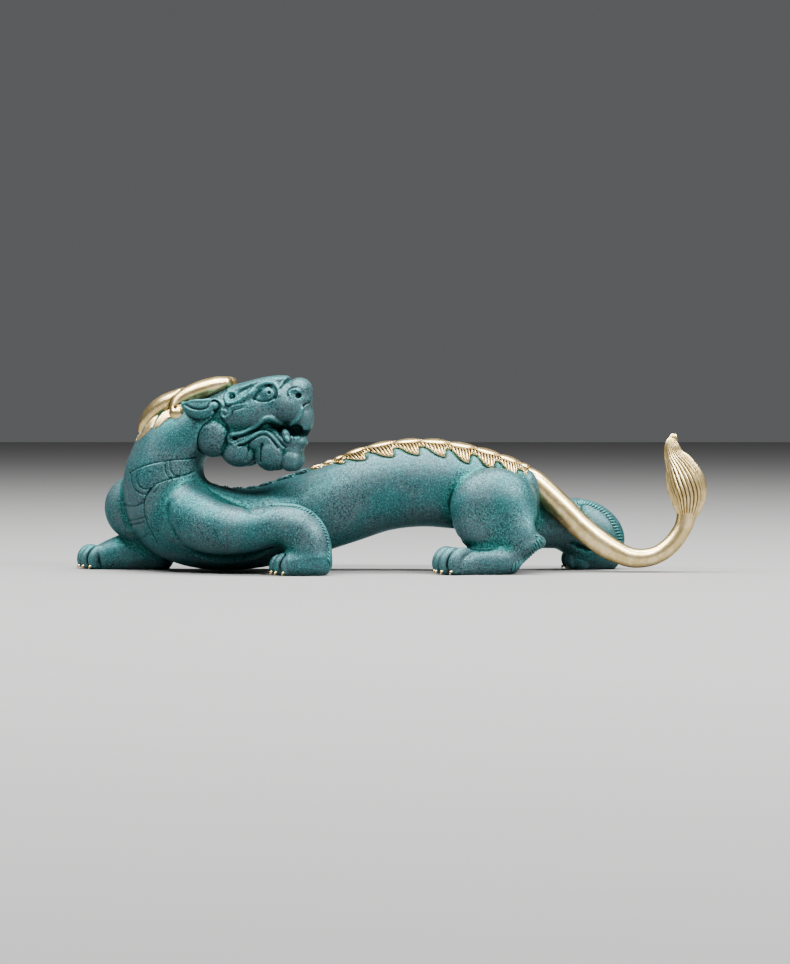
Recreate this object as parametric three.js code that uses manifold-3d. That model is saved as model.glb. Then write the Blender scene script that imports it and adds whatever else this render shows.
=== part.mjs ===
// A cast brass pixiu: a long, low guardian beast that strides towards -X and looks back over its
// own shoulder. It is one casting. Millimetres, +Z up, standing on z = 0.
import * as THREE from "three";
import { LoftGeometry } from "three/addons/geometries/LoftGeometry.js";
import { mergeVertices } from "three/addons/utils/BufferGeometryUtils.js";
import Module from "manifold-3d";

const wasm = await Module();
wasm.setup();

// The head is drawn looking along +X about its own turning axis, and then turned towards -Y.
const HEAD_AXIS = new THREE.Vector3(-70, -8, 0);
const HEAD_TURN = THREE.MathUtils.degToRad(18);

// Trunk and neck, from the rump to the nape: x, y, z, half width, half depth.
const SPINE = [
  [65, -1, 35.5, 13.5, 16.5],
  [51, 0, 38.5, 16.5, 19],
  [34, 2, 41.7, 17.5, 20.6],
  [15, 3, 43.5, 17.5, 21.2],
  [-5, 4, 41.2, 18, 21.2],
  [-25, 5, 34.3, 18.5, 20.8],
  [-45, 5, 27.6, 18.5, 20.4],
  [-68, 4, 21.6, 18.5, 20],
  [-90, 3, 22, 19.5, 21.4],
  [-107.5, 3, 29, 20.5, 22.6],
  [-113.6, 3, 43, 19, 20.9],
  [-112.2, 3, 55, 18, 18.9],
  [-107.6, 2, 64, 16.5, 17.2],
  [-99.5, 0, 70.2, 15, 15],
  [-90, -3, 74.5, 13, 12.5],
];

// How far the beast's back is rolled from the loft's upper side, in degrees, at each spine station.
const BACK_ROLL = [0, 0, 0, 0, 6, 16, 32, 50, 68, 82, 92, 108, 135, 165, 180];

// The crest's big leaves: where each one ends, in stations along the spine, from the tail end.
const LEAF_ENDS = [0.1, 0.55, 1.05, 1.68, 2.35, 3.02, 3.7, 4.38, 5.02, 5.55, 5.98];
// The low crest goes on from there to the mane.
const LOW_CREST_END = 11.4;

// Joins solids into one.
const join = (solids) => solids.reduce((all, next) => all.add(next));

// A closed three.js geometry as a solid.
function solid(geometry) {
  const bare = new THREE.BufferGeometry()
    .setAttribute("position", geometry.attributes.position)
    .setIndex(geometry.index);
  const merged = mergeVertices(bare, 1e-4);
  const corners = merged.index.array;
  const kept = [];
  for (let i = 0; i < corners.length; i += 3) {
    const [a, b, c] = [corners[i], corners[i + 1], corners[i + 2]];
    if (a !== b && b !== c && c !== a) kept.push(a, b, c);
  }
  return new wasm.Manifold(
    new wasm.Mesh({
      numProp: 3,
      vertProperties: merged.attributes.position.array,
      triVerts: new Uint32Array(kept),
    }),
  );
}

// The value of a smooth run through the stations at t, where t = 1 is the second station.
function along(stations, t) {
  const last = stations.length - 1;
  const i = Math.min(Math.max(Math.floor(t), 0), last - 1);
  const at = (k) => stations[Math.min(Math.max(k, 0), last)];
  const f = t - i;
  return stations[i].map((_, n) => {
    const [p, q, r, s] = [at(i - 1)[n], at(i)[n], at(i + 1)[n], at(i + 2)[n]];
    return (
      0.5 *
      (2 * q + (r - p) * f + (2 * p - 5 * q + 4 * r - s) * f * f + (3 * q - p - 3 * r + s) * f ** 3)
    );
  });
}

// Where a run is at t, with its direction and the two directions across it.
function frame(stations, t) {
  const [x, y, z, width, depth] = along(stations, t);
  const ahead = along(stations, Math.min(t + 0.01, stations.length - 1));
  const behind = along(stations, Math.max(t - 0.01, 0));
  const forward = new THREE.Vector3(
    ahead[0] - behind[0],
    ahead[1] - behind[1],
    ahead[2] - behind[2],
  ).normalize();
  const side = new THREE.Vector3(0, 1, 0).addScaledVector(forward, -forward.y).normalize();
  const up = new THREE.Vector3().crossVectors(side, forward);
  return { centre: new THREE.Vector3(x, y, z), forward, side, up, width, depth };
}

// One ring of a run: the section at t, shrunk to scale and moved by push along the run.
function ring(stations, t, sides, scale = 1, push = 0) {
  const { centre, forward, side, up, width, depth } = frame(stations, t);
  return Array.from({ length: sides }, (_, k) => {
    const angle = (2 * Math.PI * k) / sides;
    return centre
      .clone()
      .addScaledVector(forward, push)
      .addScaledVector(side, width * scale * Math.sin(angle))
      .addScaledVector(up, depth * scale * Math.cos(angle));
  });
}

// A limb: a run of oval sections, each end flat or domed by a share of its half size.
function limb(stations, { sides = 10, steps = 2, start = 0, end = 0.8 } = {}) {
  const last = stations.length - 1;
  const reach = (t) => Math.min(...along(stations, t).slice(3));
  const domeRing = (t, s, push) => ring(stations, t, sides, Math.sqrt(1 - s * s), push);
  const sections = [];
  if (start) sections.push(domeRing(0, 0.85, -0.85 * start * reach(0)));
  for (let k = 0; k <= last * steps; k += 1) sections.push(ring(stations, k / steps, sides));
  if (end) for (const s of [0.6, 0.94]) sections.push(domeRing(last, s, s * end * reach(last)));
  return solid(new LoftGeometry(sections, { capStart: true, capEnd: true }));
}

// An egg: a ball stretched to three half sizes, tilted in the XZ plane and turned about Z.
function egg([x, y, z], [rx, ry, rz], { tilt = 0, turn = 0, sides = 10 } = {}) {
  const ball = new THREE.SphereGeometry(1, sides, Math.round(sides * 0.6));
  ball.scale(rx, ry, rz);
  ball.rotateY(-THREE.MathUtils.degToRad(tilt));
  ball.rotateZ(THREE.MathUtils.degToRad(turn));
  ball.translate(x, y, z);
  return solid(ball);
}

// The same solid on both sides of the head's middle plane.
const bothSides = (half) => half.add(half.mirror([0, 1, 0]));

// A paw's four toes, fanned out round the end of a foot that points to heading, in degrees.
function toes([x, y], heading, reach, height) {
  return [-1.5, -0.5, 0.5, 1.5].map((place) => {
    const turn = heading + place * 27;
    const angle = THREE.MathUtils.degToRad(turn);
    const at = [x + Math.cos(angle) * reach, y + Math.sin(angle) * reach, height * 0.46];
    return egg(at, [height * 0.6, height * 0.27, height * 0.54], { turn, sides: 7 });
  });
}

function trunk() {
  return limb(SPINE, { sides: 14, start: 0.7 });
}

function nearForeleg() {
  const upperArm = limb([
    [-103, -13, 29, 11, 14.5],
    [-87, -19, 23, 11.5, 13],
    [-71, -23, 22, 11, 11],
    [-57, -26, 24.5, 10, 10],
    [-47, -27, 24, 10, 10.5],
  ], { sides: 12, start: 0.8 });
  const forearm = limb([
    [-46, -27, 23, 10, 10.5],
    [-41.5, -28, 16, 9.5, 11.5],
    [-40.5, -29, 8, 8.5, 10.5],
  ], { start: 0.8, end: 0 });
  const foot = limb([
    [-37, -29, 6, 8, 7.4],
    [-45, -29.5, 5.4, 8.6, 7.2],
    [-52, -30, 5.2, 8, 6.6],
  ], { steps: 1, start: 1.1, end: 0 });
  return join([upperArm, forearm, foot, ...toes([-50, -30], 202, 5.2, 12.2)]);
}

function farForeleg() {
  const shoulder = egg([-128, 14, 30.5], [15.8, 12, 15.5], { sides: 12 });
  const upperArm = limb([
    [-120, 12, 26, 11, 14],
    [-110, 17, 12, 9.5, 10.5],
  ], { steps: 1, end: 0.9 });
  const forearm = limb([
    [-108, 19, 7.2, 8, 8.8],
    [-127, 20, 9, 9.5, 10.8],
    [-138, 21, 7.4, 9, 9.4],
    [-148, 21, 5.2, 8, 7.2],
  ], { steps: 1, start: 0.8, end: 0 });
  return join([shoulder, upperArm, forearm, ...toes([-147, 21], 194, 5.4, 12.8)]);
}

function nearHindLeg() {
  const thigh = egg([50.5, -14, 32.5], [21.8, 12.5, 19.5], { tilt: 10, sides: 14 });
  const knee = egg([45, -17, 21], [10.5, 9, 9.5], { sides: 8 });
  const shank = limb([
    [54, -16, 27, 9, 15],
    [61.5, -18.5, 19.5, 9, 13.5],
    [65.5, -20.5, 12.8, 7.5, 9.6],
  ], { steps: 1, start: 0.8, end: 0.6 });
  const heel = egg([72.5, -20.5, 16], [3.8, 4, 3], { tilt: -20, sides: 6 });
  const foot = limb([
    [62, -21, 8, 7, 8],
    [52, -22, 6.2, 7.5, 7.8],
    [41, -23, 5.6, 8, 7.6],
    [32, -24, 5.2, 8, 7.2],
  ], { steps: 1, start: 0.8, end: 0 });
  return join([thigh, knee, shank, heel, foot, ...toes([33.2, -24], 198, 5.4, 13.8)]);
}

function farHindLeg() {
  const thigh = egg([98.5, 18, 19], [20.5, 10, 15.5], { tilt: -28, sides: 12 });
  const haunch = limb([
    [54, 6, 34, 13.5, 16.5],
    [74, 11, 25.5, 12.5, 14.2],
    [92, 15.5, 23, 10.5, 12],
  ], { steps: 1, start: 0.8, end: 0 });
  const foot = limb([
    [108, 20, 5.4, 6.5, 6.6],
    [95, 20.5, 5.2, 7.5, 7],
  ], { steps: 1, start: 0.8, end: 0 });
  return join([thigh, haunch, foot, ...toes([96.4, 20.5], 188, 4, 11.8)]);
}

function tail() {
  const stem = limb([
    [60, 0, 50, 5, 4],
    [69, -0.5, 46.5, 5.6, 5.6],
    [75.5, -1, 41, 5.8, 6.2],
    [85.6, -2, 31.4, 5.8, 6.2],
    [96, -3, 21.3, 5.6, 6],
    [106.7, -4, 13.2, 5.3, 5.8],
    [119, -5, 7.4, 4.8, 5],
    [130.2, -5, 7.9, 4.5, 4.5],
    [138.8, -5, 13.2, 4.4, 4.4],
    [145.2, -4.5, 22, 4.4, 4.4],
    [147.5, -4, 30, 5, 5],
  ], { sides: 10, start: 0.8, end: 0 });
  return stem.add(tuft());
}

// The tail's brush: a flame of fluted hair.
function tuft() {
  const run = [
    [147.3, -4, 27, 4.2, 4.2],
    [147.8, -4, 32.5, 6, 7],
    [147.9, -4, 39.3, 7, 9],
    [146.3, -4, 46, 6.8, 9.2],
    [143.7, -4, 53, 5.4, 7.1],
    [140.8, -4, 58.5, 4, 4.7],
    [139.8, -4, 63.5, 2.6, 2.7],
    [140.4, -4, 67.6, 1, 1.1],
  ];
  const flutes = 10;
  const rings = 10;
  const sections = [];
  for (let k = 0; k < rings; k += 1) {
    const share = k / (rings - 1);
    const t = share * (run.length - 1);
    const relief = 0.055 * Math.sin(Math.PI * share);
    const { centre } = frame(run, t);
    const rim = ring(run, t, flutes * 2);
    sections.push(
      rim.map((p, n) => p.sub(centre).multiplyScalar(n % 2 ? 1 - relief : 1 + relief).add(centre)),
    );
  }
  return solid(new LoftGeometry(sections, { capStart: true, capEnd: true }));
}

// A point of the trunk's skin: t along the spine, and angle in degrees down from the back line.
function onTrunk(t, angle, lift = 0) {
  const { centre, side, up, width, depth } = frame(SPINE, t);
  const roll = along(BACK_ROLL.map((r) => [r]), t)[0];
  const turn = THREE.MathUtils.degToRad(roll + angle);
  return centre
    .addScaledVector(side, (width + lift) * Math.sin(turn))
    .addScaledVector(up, (depth + lift) * Math.cos(turn));
}

// One section of the crest, that hangs down each side of the back line by hang degrees.
function crestSection(t, hang, lift) {
  const across = [-1, -0.97, -0.5, 0, 0.5, 0.97, 1];
  const lifts = [-1.5, 0.5 * lift, 0.8 * lift, lift, 0.8 * lift, 0.5 * lift, -1.5];
  return across.map((place, n) => onTrunk(t, place * hang, lifts[n])).reverse();
}

// The crest: leaves with their tips towards the tail, then a low band up the nape.
function crest() {
  const outline = [
    [0, 0.36],
    [0.45, 0.76],
    [0.93, 1],
    [1.06, 0.5],
  ];
  const leaves = LEAF_ENDS.slice(1).map((front, k) => {
    const length = front - LEAF_ENDS[k];
    const size = Math.min(1, 0.35 + length);
    return outline.map(([share, drop]) =>
      crestSection(front - share * length, 48 * size * drop, 2.4 * size * (0.3 + 0.7 * share)),
    );
  });
  const band = [];
  const start = LEAF_ENDS[LEAF_ENDS.length - 1] - 0.3;
  for (let k = 0; k <= 8; k += 1)
    band.push(crestSection(LOW_CREST_END + ((start - LOW_CREST_END) * k) / 8, 26, 1.2));
  return [...leaves, band].map((sections) =>
    solid(new LoftGeometry(sections, { capStart: true, capEnd: true })),
  );
}

// A raised line of carving.
const ridge = (stations) => limb(stations, { sides: 6, steps: 1, end: 0 });

// The head, drawn about its own axis.
function head() {
  const skull = limb([
    [-22, 0, 76, 12, 12],
    [-12, 0, 79, 12.5, 13],
    [0, 0, 81, 12.5, 13.4],
    [11, 0, 83.8, 11.5, 12],
    [20, 0, 85.4, 10, 10.4],
    [25.4, 0, 86.4, 8.5, 8.8],
  ], { sides: 14, steps: 1 });
  const forehead = limb([
    [-9, 0, 90, 8, 2.5],
    [5, 0, 93.6, 8, 3],
    [14, 0, 95.3, 6.5, 2.8],
    [19, 0, 96.2, 4.5, 1.8],
  ], { sides: 8, steps: 1 });
  const nose = egg([26, 0, 91], [6.2, 7.5, 6], { sides: 9 });
  const lipFront = egg([26.4, 0, 78.2], [6.5, 7, 6.5]);
  const jaw = limb([
    [-19, 0, 69, 10.5, 9],
    [0, 0, 67, 11, 9.5],
    [10, 0, 66, 10, 8.5],
    [18, 0, 63.5, 8, 6.5],
    [24, 0, 61.5, 6, 4.6],
  ], { steps: 1 });
  const jawHinge = egg([-16.3, -6, 68.6], [8, 7.7, 9.5], { sides: 8 });
  const cheek = egg([2, -7.5, 78.5], [15, 5.5, 6.4], { tilt: 8, sides: 7 });
  const muzzle = egg([21, -5, 82.2], [8.4, 5.8, 6.8], { sides: 8 });
  const eye = egg([13, -8.6, 88.6], [4.2, 3.2, 3.6], { sides: 6 });
  const backLobe = egg([-4, -5, 60.2], [9.5, 6.5, 7.6], { sides: 8 });
  const middleLobe = egg([12, -4, 59.6], [8.4, 6.5, 8.8], { sides: 8 });
  const chinLobe = egg([21.8, -2.6, 56.6], [5.6, 4.8, 6], { sides: 8 });
  const brow = ridge([
    [-10.5, -10.8, 86, 1.6, 1.6],
    [-2, -11.2, 88.5, 2, 2],
    [6, -11.2, 92.4, 2.2, 2],
    [12, -11, 93.6, 2.2, 1.8],
    [17, -10.2, 92, 1.6, 1.6],
  ]);
  const upperLip = ridge([
    [29.8, -5.5, 83.6, 1.2, 1.2],
    [26.1, -8, 77, 1.4, 1.3],
    [20.4, -9.5, 75, 1.6, 1.3],
    [14.7, -10.5, 77, 1.6, 1.3],
    [5, -11.5, 72.7, 1.6, 1.3],
    [-5, -11.5, 69.2, 1.6, 1.3],
  ]);
  const lowerLip = ridge([
    [0, -10.2, 66, 1.6, 1.2],
    [8.8, -10, 69.8, 1.6, 1.2],
    [15.9, -8.8, 66.6, 1.6, 1.2],
    [20.2, -7, 62.5, 1.4, 1.1],
  ]);
  const ear = ridge([
    [-31, -11.6, 84.8, 1, 1],
    [-25, -12.2, 82, 1.8, 3.6],
    [-18, -12, 81.6, 2, 4.2],
    [-13.5, -11.5, 82.8, 1.8, 2.6],
  ]);
  const masses = join([jawHinge, cheek, muzzle, eye, backLobe, middleLobe, chinLobe]);
  const carving = join([brow, upperLip, lowerLip, ear]);
  const mouth = egg([30, 0, 69.3], [12, 9, 3.5], { tilt: 6 });
  const sides = bothSides(masses.add(carving));
  return join([skull, forehead, nose, lipFront, jaw, sides]).subtract(mouth);
}

// The horn lies back along the crown, curls down at each side and trails over the nape.
function horn() {
  const crown = limb([
    [-12, 0, 93.6, 4.6, 4],
    [-19, 0, 93, 5.4, 4.9],
    [-26, 0, 91, 6, 4.9],
    [-34, 0, 88.4, 6.4, 4.8],
  ], { steps: 1, start: 0.6, end: 0 });
  const trail = limb([
    [-31, 0, 89.4, 6, 4.7],
    [-41, 0, 86.2, 6.4, 4.7],
    [-49, 0, 81.2, 6, 4.4],
    [-54.5, 0, 76, 5, 3.8],
    [-57.4, 0, 71.8, 3.6, 2.8],
  ], { steps: 1 });
  const curl = limb([
    [-28, -4, 89.4, 3.4, 4],
    [-34, -7.5, 86, 3.4, 4],
    [-35.6, -9.6, 82, 3.2, 3.6],
  ], { sides: 8, steps: 1, end: 0 });
  const knob = egg([-35, -11.2, 79.8], [4.2, 3.4, 4.2], { sides: 8 });
  return join([crown, trail, bothSides(curl.add(knob))]);
}

// Turns what is drawn about the head's own axis into place on the neck.
function turned(shape) {
  const degrees = -THREE.MathUtils.radToDeg(HEAD_TURN);
  return shape.rotate([0, 0, degrees]).translate(HEAD_AXIS.toArray());
}

// Cuts the casting flat where it stands.
function standing(shape) {
  const block = new THREE.BoxGeometry(400, 200, 20);
  block.translate(0, 0, -10);
  return shape.subtract(solid(block));
}

// The finished solid as a geometry, centred over its footprint.
function castingGeometry() {
  const shape = standing(
    join([
      trunk(),
      nearForeleg(),
      farForeleg(),
      nearHindLeg(),
      farHindLeg(),
      tail(),
      ...crest(),
      turned(head()),
      turned(horn()),
    ]),
  );
  const mesh = shape.getMesh();
  const geometry = new THREE.BufferGeometry()
    .setAttribute("position", new THREE.BufferAttribute(mesh.vertProperties, 3))
    .setIndex(new THREE.BufferAttribute(mesh.triVerts, 1));
  geometry.computeBoundingBox();
  const middle = geometry.boundingBox.getCenter(new THREE.Vector3());
  geometry.translate(-middle.x, -middle.y, 0);
  geometry.computeVertexNormals();
  return geometry;
}

const patina = new THREE.MeshStandardMaterial({ color: 0x2f6f70, roughness: 0.55, metalness: 0.35 });

const statue = new THREE.Group();
const casting = new THREE.Mesh(castingGeometry(), patina);
casting.name = "pixiu";
statue.add(casting);

export default statue;
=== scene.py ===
import math

import bpy
import numpy as np
import openvdb
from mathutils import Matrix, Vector


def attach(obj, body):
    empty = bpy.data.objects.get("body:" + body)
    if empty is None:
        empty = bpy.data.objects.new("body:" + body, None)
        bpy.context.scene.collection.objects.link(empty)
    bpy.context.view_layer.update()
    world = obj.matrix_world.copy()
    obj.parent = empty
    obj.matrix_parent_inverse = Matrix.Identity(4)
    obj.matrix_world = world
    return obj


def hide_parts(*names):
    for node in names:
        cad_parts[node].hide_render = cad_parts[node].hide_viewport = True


# A cast brass pixiu: a long, low guardian beast that strides towards -X and looks back over its
# shoulder. Its skin has a blue-green patina. Its horn, mane, crest, tail and claws are bare brass.
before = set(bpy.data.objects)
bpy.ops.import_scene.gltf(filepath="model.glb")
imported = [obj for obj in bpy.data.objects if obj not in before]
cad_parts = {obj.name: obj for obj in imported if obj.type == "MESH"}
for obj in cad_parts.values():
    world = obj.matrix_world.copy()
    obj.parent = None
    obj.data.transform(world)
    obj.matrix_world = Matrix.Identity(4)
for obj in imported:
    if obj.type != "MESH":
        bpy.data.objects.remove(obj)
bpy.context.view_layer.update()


# The camera stands a metre and a half in front of the statue and looks down on it by two degrees.
# Its picture is 790 by 964 pixels, with half a millimetre to a pixel at the statue's middle.
# The statue is drawn in millimetres round a zero of its own, which lies at DRAWING_ZERO in the frame.
MM = 0.001
DRAWING_ZERO = np.array((1.14, 5.46, 0.0))
AIM = np.array((1.75, 0.0, 44.8))
# Places drawn as the camera sees them have this height where it aims
DRAWN_AIM = 45.5
CAMERA_DISTANCE = 1500.0
CAMERA_DIP = math.radians(2)
PICTURE_HEIGHT = 482.0

camera_back = np.array((0.0, -math.cos(CAMERA_DIP), math.sin(CAMERA_DIP)))
camera_up = np.array((0.0, math.sin(CAMERA_DIP), math.cos(CAMERA_DIP)))
camera_place = AIM + camera_back * CAMERA_DISTANCE

camera_data = bpy.data.cameras.new("camera")
camera_data.lens = camera_data.sensor_width * CAMERA_DISTANCE / PICTURE_HEIGHT
camera_data.clip_start = 0.01
camera_data.clip_end = 20
camera = bpy.data.objects.new("camera", camera_data)
camera.location = (camera_place + DRAWING_ZERO) * MM
camera.rotation_euler = (math.pi / 2 - CAMERA_DIP, 0, 0)
bpy.context.scene.collection.objects.link(camera)
bpy.context.scene.camera = camera


# Trunk and neck: one long roll of clay from the rump to the nape, as the wax of a casting is made.
# Clay is a block of cells that hold their distance to the skin, up to REACH, and less than 0 inside.
# Shapes are pressed on with a soft fillet, lines are scored into it, and then it becomes a mesh.
REACH = 5
SIGHT_REACH = 60

# Relief is how far the skin stands from a blurred copy of itself: the size of the blur, and the
# height that counts as full
FINE_RELIEF = (0.9, 0.3)
BROAD_RELIEF = (3.0, 1.2)


def along(stations, t):
    """The values of a smooth run through the stations at each t, where t = 1 is the second station."""
    table = np.asarray(stations, float)
    t = np.atleast_1d(np.asarray(t, float))
    last = len(table) - 1
    gap = np.clip(np.floor(t).astype(int), 0, last - 1)
    share = (t - gap)[:, None]
    before, here, there, after = (table[np.clip(gap + step, 0, last)] for step in (-1, 0, 1, 2))
    bend = 2 * before - 5 * here + 4 * there - after
    swing = 3 * here - before - 3 * there + after
    return 0.5 * (2 * here + (there - before) * share + bend * share**2 + swing * share**3)


def smooth_line(points, per_gap=6):
    """A smooth line through the points."""
    return along(points, np.linspace(0, len(points) - 1, (len(points) - 1) * per_gap + 1))


def frames(stations, t):
    """Where a run is at each t: centres, directions ahead, sideways and up, and the half sizes."""
    values = along(stations, t)
    t = np.atleast_1d(np.asarray(t, float))
    step = 0.01
    forward = (along(stations, t + step) - along(stations, t - step))[:, :3]
    forward /= np.linalg.norm(forward, axis=1, keepdims=True)
    side = np.array((0.0, 1.0, 0.0)) - forward * forward[:, 1:2]
    side /= np.linalg.norm(side, axis=1, keepdims=True)
    return values[:, :3], forward, side, np.cross(side, forward), values[:, 3], values[:, 4]


def limb_rings(stations, sides=48, steps=8, start=0.0, end=0.8):
    """Oval rings along a run, closed by domes that are as tall as a share of the end's half size."""
    last = len(stations) - 1
    near_tip = 0.48 * math.pi
    dome = np.sin(np.linspace(0, near_tip, 7)[1:])
    rows = [(t, 1.0, 0.0) for t in np.linspace(0, last, last * steps + 1)]
    if start:
        rise = start * min(stations[0][3:])
        rows = [(0, math.sqrt(1 - height**2), -height * rise) for height in dome[::-1]] + rows
    if end:
        rise = end * min(stations[-1][3:])
        rows += [(last, math.sqrt(1 - height**2), height * rise) for height in dome]
    t, scale, push = np.array(rows).T
    centre, forward, side, up, width, depth = frames(stations, t)
    turn = np.linspace(0, 2 * math.pi, sides, endpoint=False)
    centre = centre + forward * push[:, None]
    across = (width * scale)[:, None, None] * side[:, None, :] * np.sin(turn)[None, :, None]
    upright = (depth * scale)[:, None, None] * up[:, None, :] * np.cos(turn)[None, :, None]
    return centre[:, None, :] + across + upright


def skin_of(rings):
    """The points, quads and end triangles of a tube through rings of points."""
    rows, sides = rings.shape[:2]
    points = np.vstack([rings.reshape(-1, 3), rings[0].mean(0), rings[-1].mean(0)])
    corner = np.arange(sides)
    after = (corner + 1) % sides
    base = (np.arange(rows - 1) * sides)[:, None]
    quads = np.stack([base + corner, base + after, base + sides + after, base + sides + corner], -1)
    start, end = rows * sides, rows * sides + 1
    top = (rows - 1) * sides
    first = np.stack([after, corner, np.full(sides, start)], -1)
    final = np.stack([top + corner, top + after, np.full(sides, end)], -1)
    return points, quads.reshape(-1, 4), np.vstack([first, final])


class Clay:
    """A block of cells, and how far each of them lies from the skin of the shape that is in it."""

    def __init__(self, low, high, cell):
        self.cell = cell
        self.first = np.floor(np.array(low) / cell).astype(int)
        self.shape = np.ceil(np.array(high) / cell).astype(int) - self.first + 1
        self.depth = np.full(self.shape, REACH, np.float32)

    def window(self, low, high, margin=REACH):
        """The cells round a box, and their places."""
        start = np.floor((np.array(low) - margin) / self.cell).astype(int) - self.first
        stop = np.ceil((np.array(high) + margin) / self.cell).astype(int) - self.first + 1
        start = np.clip(start, 0, self.shape - 1)
        stop = np.clip(stop, 1, self.shape)
        axes = [(self.first[n] + np.arange(start[n], stop[n])) * self.cell for n in range(3)]
        return tuple(slice(*ends) for ends in zip(start, stop)), np.ix_(*axes)

    def press_on(self, window, distance, fillet):
        """Adds a shape, given by each cell's distance to it."""
        old = self.depth[window]
        close = np.maximum(fillet - np.abs(old - distance), 0) / fillet
        self.depth[window] = np.minimum(old, distance) - close**2 * fillet / 4

    def cut_out(self, window, distance, fillet):
        """Takes a shape away."""
        old = self.depth[window]
        close = np.maximum(fillet - np.abs(old + distance), 0) / fillet
        self.depth[window] = np.maximum(old, -distance) + close**2 * fillet / 4

    def limb(self, stations, fillet, **ends):
        """Presses on a round limb through stations: x, y, z, half width and half depth."""
        points, quads, triangles = skin_of(limb_rings(stations, **ends))
        window, _ = self.window(points.min(0), points.max(0))
        start = [int(self.first[n] + window[n].start) for n in range(3)]
        grid = openvdb.FloatGrid.createLevelSetFromPolygons(
            points.astype(np.float32),
            triangles=triangles.astype(np.uint32),
            quads=quads.astype(np.uint32),
            transform=openvdb.createLinearTransform(voxelSize=self.cell),
            halfWidth=REACH / self.cell,
        )
        distance = np.empty(self.depth[window].shape, np.float32)
        grid.copyToArray(distance, ijk=start)
        self.press_on(window, distance, fillet)

    def egg(self, centre, radii, fillet, tilt=0.0, turn=0.0, cut=False):
        """Presses on or cuts out an egg, turned round the upright and tilted up by so many degrees."""
        reach = max(radii)
        window, (x, y, z) = self.window(np.array(centre) - reach, np.array(centre) + reach)
        x, y, z = x - centre[0], y - centre[1], z - centre[2]
        cosine, sine = math.cos(math.radians(turn)), math.sin(math.radians(turn))
        x, y = x * cosine + y * sine, y * cosine - x * sine
        cosine, sine = math.cos(math.radians(tilt)), math.sin(math.radians(tilt))
        x, z = x * cosine + z * sine, z * cosine - x * sine
        near = np.sqrt((x / radii[0]) ** 2 + (y / radii[1]) ** 2 + (z / radii[2]) ** 2)
        slope = np.sqrt((x / radii[0] ** 2) ** 2 + (y / radii[1] ** 2) ** 2 + (z / radii[2] ** 2) ** 2)
        distance = near * (near - 1) / np.maximum(slope, 1e-6)
        distance = np.clip(distance, -REACH, REACH).astype(np.float32)
        if cut:
            self.cut_out(window, distance, fillet)
        else:
            self.press_on(window, distance, fillet)

    def line_distance(self, points, sizes, margin):
        """The cells round a line, and their distance to it less its own half size there."""
        window, (x, y, z) = self.window(points.min(0), points.max(0), margin)
        far_off = 1e3
        nearest = np.full(self.depth[window].shape, far_off, np.float32)
        for start, end, start_size, end_size in zip(points[:-1], points[1:], sizes[:-1], sizes[1:]):
            run = end - start
            ahead, aside, above = x - start[0], y - start[1], z - start[2]
            share = (ahead * run[0] + aside * run[1] + above * run[2]) / max(run @ run, 1e-9)
            share = np.clip(share, 0, 1)
            ahead, aside, above = ahead - share * run[0], aside - share * run[1], above - share * run[2]
            size = start_size + share * (end_size - start_size)
            np.minimum(nearest, np.sqrt(ahead**2 + aside**2 + above**2) - size, out=nearest)
        return window, nearest

    def roll(self, points, sizes, fillet):
        """Presses on a roll of clay along a line, with half sizes spread evenly over its length."""
        sizes = np.interp(np.linspace(0, 1, len(points)), np.linspace(0, 1, len(sizes)), sizes)
        window, distance = self.line_distance(points, sizes, max(sizes) + fillet + 1)
        self.press_on(window, distance, fillet)

    def score(self, points, width, depth, fade=0.0):
        """Scores a line into the skin, or raises it where depth is negative. The line fades in and out over
        a share of its length."""
        share = np.linspace(0, 1, len(points))
        faint = np.clip(1 - np.minimum(share, 1 - share) / fade, 0, 1) if fade else 0 * share
        window, distance = self.line_distance(points, -width * faint, width + 1)
        share = np.clip(1 - distance / width, 0, 1)
        self.depth[window] += (depth * share * share * (3 - 2 * share)).astype(np.float32)

    def soften(self, centre, radii, size):
        """Smooths the clay inside an egg-shaped space, most at its middle."""
        window, (x, y, z) = self.window(np.array(centre) - radii, np.array(centre) + radii, margin=0)
        x, y, z = (x - centre[0]) / radii[0], (y - centre[1]) / radii[1], (z - centre[2]) / radii[2]
        smooth = self.depth[window]
        for axis in (0, 1, 2) * 3:
            smooth = spread(smooth, axis, round(size / self.cell))
        share = np.clip(1 - (x**2 + y**2 + z**2), 0, 1) ** 0.5
        self.depth[window] += share * (smooth - self.depth[window])

    def sample(self, points):
        """The cells' values at points, mixed from the eight cells round each."""
        place = np.clip(points / self.cell - self.first, 0, self.shape - 1.001)
        cell = np.floor(place).astype(int)
        share = place - cell
        total = np.zeros(place.shape[:-1])
        for corner in np.ndindex(2, 2, 2):
            weight = np.prod(np.where(corner, share, 1 - share), axis=-1)
            total += weight * self.depth[tuple((cell + corner)[..., n] for n in range(3))]
        return total

    def seen(self, points, turned=lambda places: places, lift=0.0):
        """Where lines of sight meet the skin. Points are x and z on an upright sheet at the statue's middle,
        as the camera sees it. turned changes a place of the drawing into the clay's own."""
        points = smooth_line(points)
        sheet = AIM + (points[:, 1:] - DRAWN_AIM) * camera_up
        sheet[:, 0] = points[:, 0]
        eye = turned(camera_place[None])[0]
        sheet = turned(sheet)
        ahead = sheet - eye
        ahead /= np.linalg.norm(ahead, axis=1, keepdims=True)
        steps = np.arange(-SIGHT_REACH, SIGHT_REACH, self.cell / 2)
        places = sheet[:, None, :] + steps[None, :, None] * ahead[:, None, :]
        inside = self.sample(places) < 0
        first = np.argmax(inside, axis=1)
        found = inside.any(axis=1)
        return (places[np.arange(len(points)), first] - lift * ahead)[found]

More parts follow.
